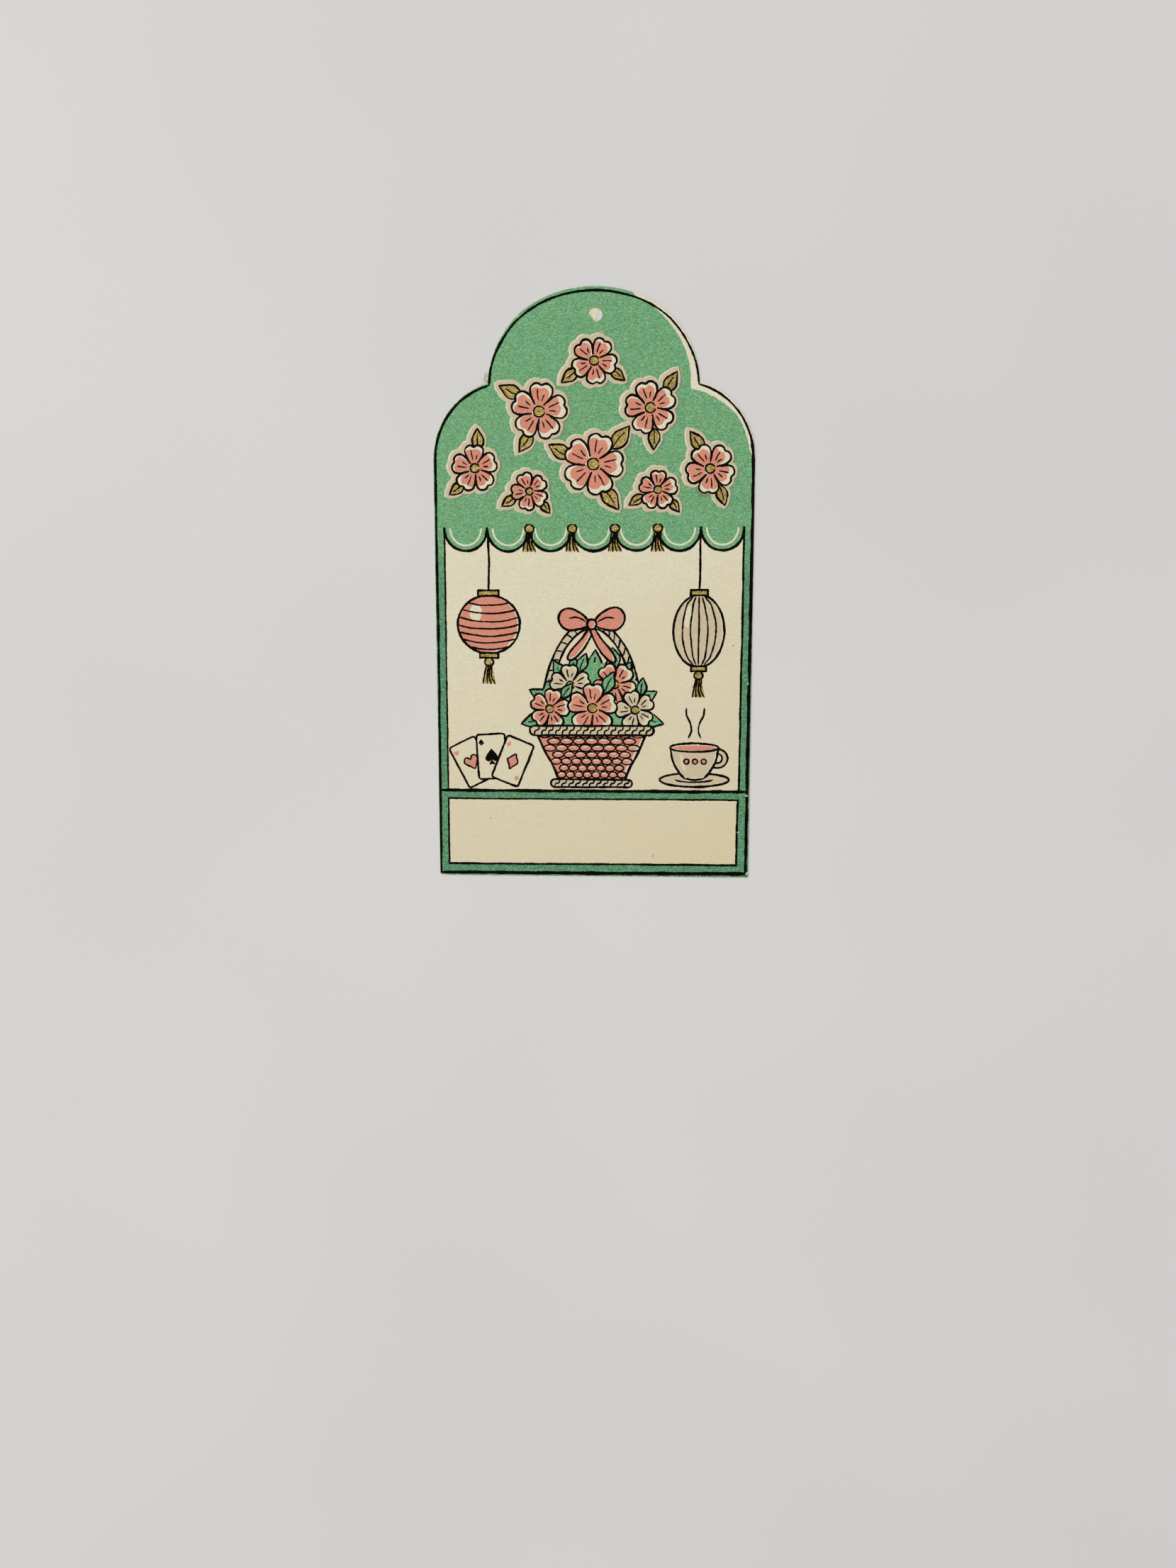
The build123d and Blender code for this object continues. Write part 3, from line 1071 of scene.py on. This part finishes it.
# %% Green, coral, beige and their overprint
def in_a_band(tree, place):
    """One in the green bands round the panel and the picture, and nought in the wide field above."""
    across, up, _ = add(tree, "SeparateXYZ", {0: place}).outputs
    off_middle = add(tree, "Math", {0: across}, operation="ABSOLUTE").outputs[0]
    at_side = add(tree, "MapRange", {0: off_middle, 1: side - 3.6, 2: side - 2.9}).outputs[0]
    top = foot + window_top
    low_down = add(tree, "MapRange", {0: up, 1: top - 14, 2: top, 3: 1, 4: 0}).outputs[0]
    beside = add(tree, "Math", {0: at_side, 1: low_down}, operation="MULTIPLY").outputs[0]
    round_panel = add(tree, "MapRange", {0: up, 1: foot + 22, 2: foot + 26, 3: 1, 4: 0}).outputs[0]
    return add(tree, "Math", {0: beside, 1: round_panel}, operation="MAXIMUM").outputs[0]


def flat_ink(name, paper_shows, wide, deep=None):
    """A matt ink: shades by the felt's flecks, paper where it skipped, and deeper shades in a band."""
    material, tree, shader, place = new_finish(name, Roughness=0.75, Specular_IOR_Level=0.14)
    grain = flecks(tree, place, 0.42, 0.17, detail=2, Distortion=0.3)
    colour = add(tree, "ValToRGB", {0: grain}, wide).outputs[0]
    if deep:
        deeper = add(tree, "ValToRGB", {0: grain}, deep).outputs[0]
        colour = coated(tree, colour, (in_a_band(tree, place), deeper))
    patches = add(tree, "TexNoise", {"Vector": place, "Scale": 1 / 4, "Detail": 3}).outputs[0]
    warm_share = add(tree, "MapRange", {0: patches, 1: 0.36, 2: 0.64}).outputs[0]
    cool, warm = (0.96, 0.995, 1.02, 1), (1.03, 1.0, 0.975, 1)
    tint = coated(tree, cool, (warm_share, warm))
    colour = add(tree, "VectorMath", {0: colour, 1: tint}, operation="MULTIPLY").outputs[0]
    skips = flecks(tree, place, 0.34, 0.2, detail=2)
    skipped = add(tree, "MapRange", {0: skips, 1: 0.66, 2: 0.74, 4: paper_shows}).outputs[0]
    missed = specks(tree, place, 1.3, 0.14, 0.34, share=paper_shows * 1.2, rarity=0.45)
    thinly_inked, bare_paper = linear("#DDD8BC"), linear("#EFE6CF")
    colour = coated(tree, colour, (skipped, thinly_inked), (missed, bare_paper))
    dressed(tree, shader, colour, grain, 0.025, 0.6)
    return material


green_wide = ((0.29, "#498656"), (0.5, "#6EA574"), (0.68, "#95C599"))
green_deep = ((0.32, "#31694A"), (0.5, "#558B62"), (0.65, "#7DB289"))
coral_shades = ((0.37, "#CB8169"), (0.5, "#D68C74"), (0.64, "#DF9881"))
beige_shades = ((0.3, "#C7B696"), (0.5, "#CDBD9D"), (0.7, "#D4C5A8"))
mixed_shades = ((0.32, "#6E8364"), (0.5, "#788E6B"), (0.66, "#86997A"))
inks = {
    "green_print": flat_ink("matt_green_ink", 0.42, green_wide, green_deep),
    "coral_print": flat_ink("matt_coral_ink", 0.5, coral_shades),
    "beige_print": flat_ink("matt_beige_ink", 0.2, beige_shades),
    "overprint": flat_ink("green_over_beige_ink", 0.2, mixed_shades),
}
print("flat inks:", ", ".join(inks))

# %% [markdown]
# ## Bronze powder gold
# Such gold is bronze powder dusted on a sticky print, so each flake lies at its own angle.
# The flakes clump in short curled strands, and each strand is painted bright on one side and dark on the
# other, as glints and shade of flakes at their own angles.
# Half metal and half matt, they glow softly and never mirror.

# %% The gold
gold, tree, shader, place = new_finish("bronze_powder_gold", Metallic=0.5, Roughness=0.5)
strand_across, strand_up = 0.33, 0.25
strands = flecks(tree, place, strand_across, strand_up, detail=2, Distortion=1.6)
# The darkest and brightest of these shades are painted shade and painted glints; the middle ones are the
# gold's own colour.
gold_with_painted_glints = (
    (0.36, "#49380F"),
    (0.44, "#756023"),
    (0.5, "#9B8537"),
    (0.56, "#C0A854"),
    (0.64, "#E4CF85"),
)
painted_glints_on_gold = add(tree, "ValToRGB", {0: strands}, gold_with_painted_glints).outputs[0]
dressed(tree, shader, painted_glints_on_gold, strands, 0.04, 0.6)
inks["gold_print"] = gold
print(f"gold strands {strand_across} x {strand_up} mm")

# %% [markdown]
# ## Key black
# The black is the last ink on and the heaviest. It is a warm, dry black that soaks into the stock,
# so it keeps almost no sheen, and here and there a speck of paper shows through it.

# %% The black
black, tree, shader, place = new_finish("key_black_ink", Roughness=0.55, Specular_IOR_Level=0.03)
pinholes = flecks(tree, place, 0.16, 0.13, detail=2)
black_shades = ((0.3, "#050302"), (0.7, "#0B0706"), (0.77, "#2C251D"))
soaked = add(tree, "ValToRGB", {0: pinholes}, black_shades).outputs[0]
dressed(tree, shader, soaked, flecks(tree, place, 0.8, 0.3), 0.015, 0.5)
inks["black_print"] = black
for name, ink in prints.items():
    ink.data.materials.append(inks[name])
print("inked:", ", ".join(sorted(prints)))

# %% [markdown]
# ## Loose fibres
# Paper is felted plant fibre, and where it's torn some fibres come loose and stand out.
# They do so on the torn tie by the left notch, along the burr that the die left there, and at the hole.
# Each is a thin bevelled curve with its root in the sheet, thicker than a real one so that it shows.

# %% Fibres at the tie, the burr and the hole
fuzz_line = bpy.data.curves.new("torn_fibres", "CURVE")
fuzz_line.dimensions = "3D"
fuzz_line.bevel_depth, fuzz_line.bevel_resolution, fuzz_line.resolution_u = 0.042 * MM, 1, 4


def fibre(root, tip, low=-0.16, high=-0.04, curl=0.16):
    """One fibre from its root to its tip, its two ends so many millimetres above the printed face."""
    row, root, tip = next(stroke_rows), Vector(root), Vector(tip)
    across = Vector((root.y - tip.y, tip.x - root.x)).normalized()
    strand = fuzz_line.splines.new("NURBS")
    strand.points.add(4)
    for i, point in enumerate(strand.points):
        share = i / 4
        x, y = root.lerp(tip, share) + across * waver(row, share * 2.2, 1, curl)
        point.co = (x * MM, y * MM + foot_y, face_z + (low + (high - low) * share) * MM, 1)
        point.radius = 1 - 0.55 * share
    strand.order_u, strand.use_endpoint_u = 3, True


tie_x, tie_y = min((outline[i] for i in left_root), key=lambda p: p.y)
fray_ring = 1.75
for i in range(14):
    up = 0.35 + 0.14 * i
    out = 1.05 - 0.3 * abs(i - 4) / 4 + 0.12 * math.sin(2.4 * i)
    tip_rise = 0.45 * math.sin(1.7 * i) + 0.03 * i
    fibre((tie_x + 0.2, tie_y + up), (tie_x - out, tie_y + up + tip_rise), -0.1, -0.03 + 0.02 * (i % 3))
burr = along(left_shoulder, step=0.3)
for i in range(1, 19, 3):
    fibre(burr[i], burr[i + 5] + Vector((-0.05, 0.15 + 0.03 * (i % 2))), -0.2, -0.12, curl=0.06)
for turn in (150, 172, 195, 214, 228, 246, 262, 290):
    edge_spot = hole_middle + toward(turn) * fray_ring
    fibre(edge_spot, edge_spot.lerp(hole_middle, 0.32) + Vector((0.12, -0.1)), -0.03, 0.03, curl=0.12)
fuzz = put("torn_fibres", fuzz_line)
pulp, tree, shader, place = new_finish("torn_paper_pulp", Roughness=0.95, Specular_IOR_Level=0.05)
stain = flecks(tree, place, 0.3, 0.3)
pulp_shades = ((0.38, "#3C5F49"), (0.47, "#7FA583"), (0.54, "#D3DAC0"), (0.64, "#ECE8D4"))
stained = add(tree, "ValToRGB", {0: stain}, pulp_shades).outputs[0]
tree.links.new(stained, shader.inputs["Base Color"])
fuzz_line.materials.append(pulp)
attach(fuzz, "root")
print(len(fuzz_line.splines), "fibres")

# %% [markdown]
# ## The floor, the light and the camera
# The card lies on its back on a plain pale floor, and the camera looks down on it.
# A white world of even strength would render each colour exactly as it's written, but without any form.
# So the world gives a bit over half of the light, and one wide lamp at the upper left gives the rest.
# A square lamp lights a sheet that faces it by its watts over pi squared times the distance squared,
# and its power is worked out from that.

# %% The floor
floor_mesh = bpy.data.meshes.new("floor")
reach = 1.5
floor_corners = [(-reach, -reach, 0), (reach, -reach, 0), (reach, reach, 0), (-reach, reach, 0)]
floor_mesh.from_pydata(floor_corners, [], [(0, 1, 2, 3)])
floor = put("floor", floor_mesh)
pale = {"Roughness": 0.85, "Specular_IOR_Level": 0.1}
floor_finish, tree, shader, place = new_finish("plain_matt_floor", **pale)
uneven = add(tree, "TexNoise", {"Vector": place, "Scale": 1 / 160, "Detail": 2}).outputs[0]
floor_shades = ((0.35, "#D8D7D6"), (0.65, "#DCDBD9"))
greyish = add(tree, "ValToRGB", {0: uneven}, floor_shades).outputs[0]
tree.links.new(greyish, shader.inputs["Base Color"])
floor_mesh.materials.append(floor_finish)
print(f"floor {2 * reach:.0f} m square")

# %% The light
world = bpy.data.worlds.new("soft_room_light")
bpy.context.scene.world = world
world.use_nodes = True
background = world.node_tree.nodes["Background"]
background.inputs["Color"].default_value = linear("#FCFBFA")
world_share, lamp_share = 0.62, 0.42
background.inputs["Strength"].default_value = world_share
lamp_place = Vector((-1.0, 0.35, 1.9))
light = bpy.data.lights.new("window_light", "AREA")
light.size = 1.3
light.energy = lamp_share * math.pi**2 * lamp_place.length**2
lamp = put("window_light", light)
lamp.location = lamp_place
lamp.rotation_euler = (-lamp_place).to_track_quat("-Z", "Y").to_euler()
print(f"a lamp of {light.energy:.1f} W at {lamp_place.length:.2f} m")

# %% The camera
camera = bpy.data.cameras.new("camera")
camera.lens = 27.5
camera.clip_start = 0.01
eye = put("camera", camera)
ahead, head_up = Vector((-0.0457, -0.1329, -0.9901)).normalized(), Vector((-0.0057, 0.9911, -0.1327))
right = ahead.cross(head_up).normalized()
axes = Matrix((right, right.cross(ahead), -ahead)).transposed().to_4x4()
eye.matrix_world = Matrix.Translation((0.01213, -0.00779, 0.29105)) @ axes
bpy.context.scene.camera = eye
bpy.context.scene.view_settings.view_transform = "Standard"
print("camera at", [round(c, 3) for c in eye.location])
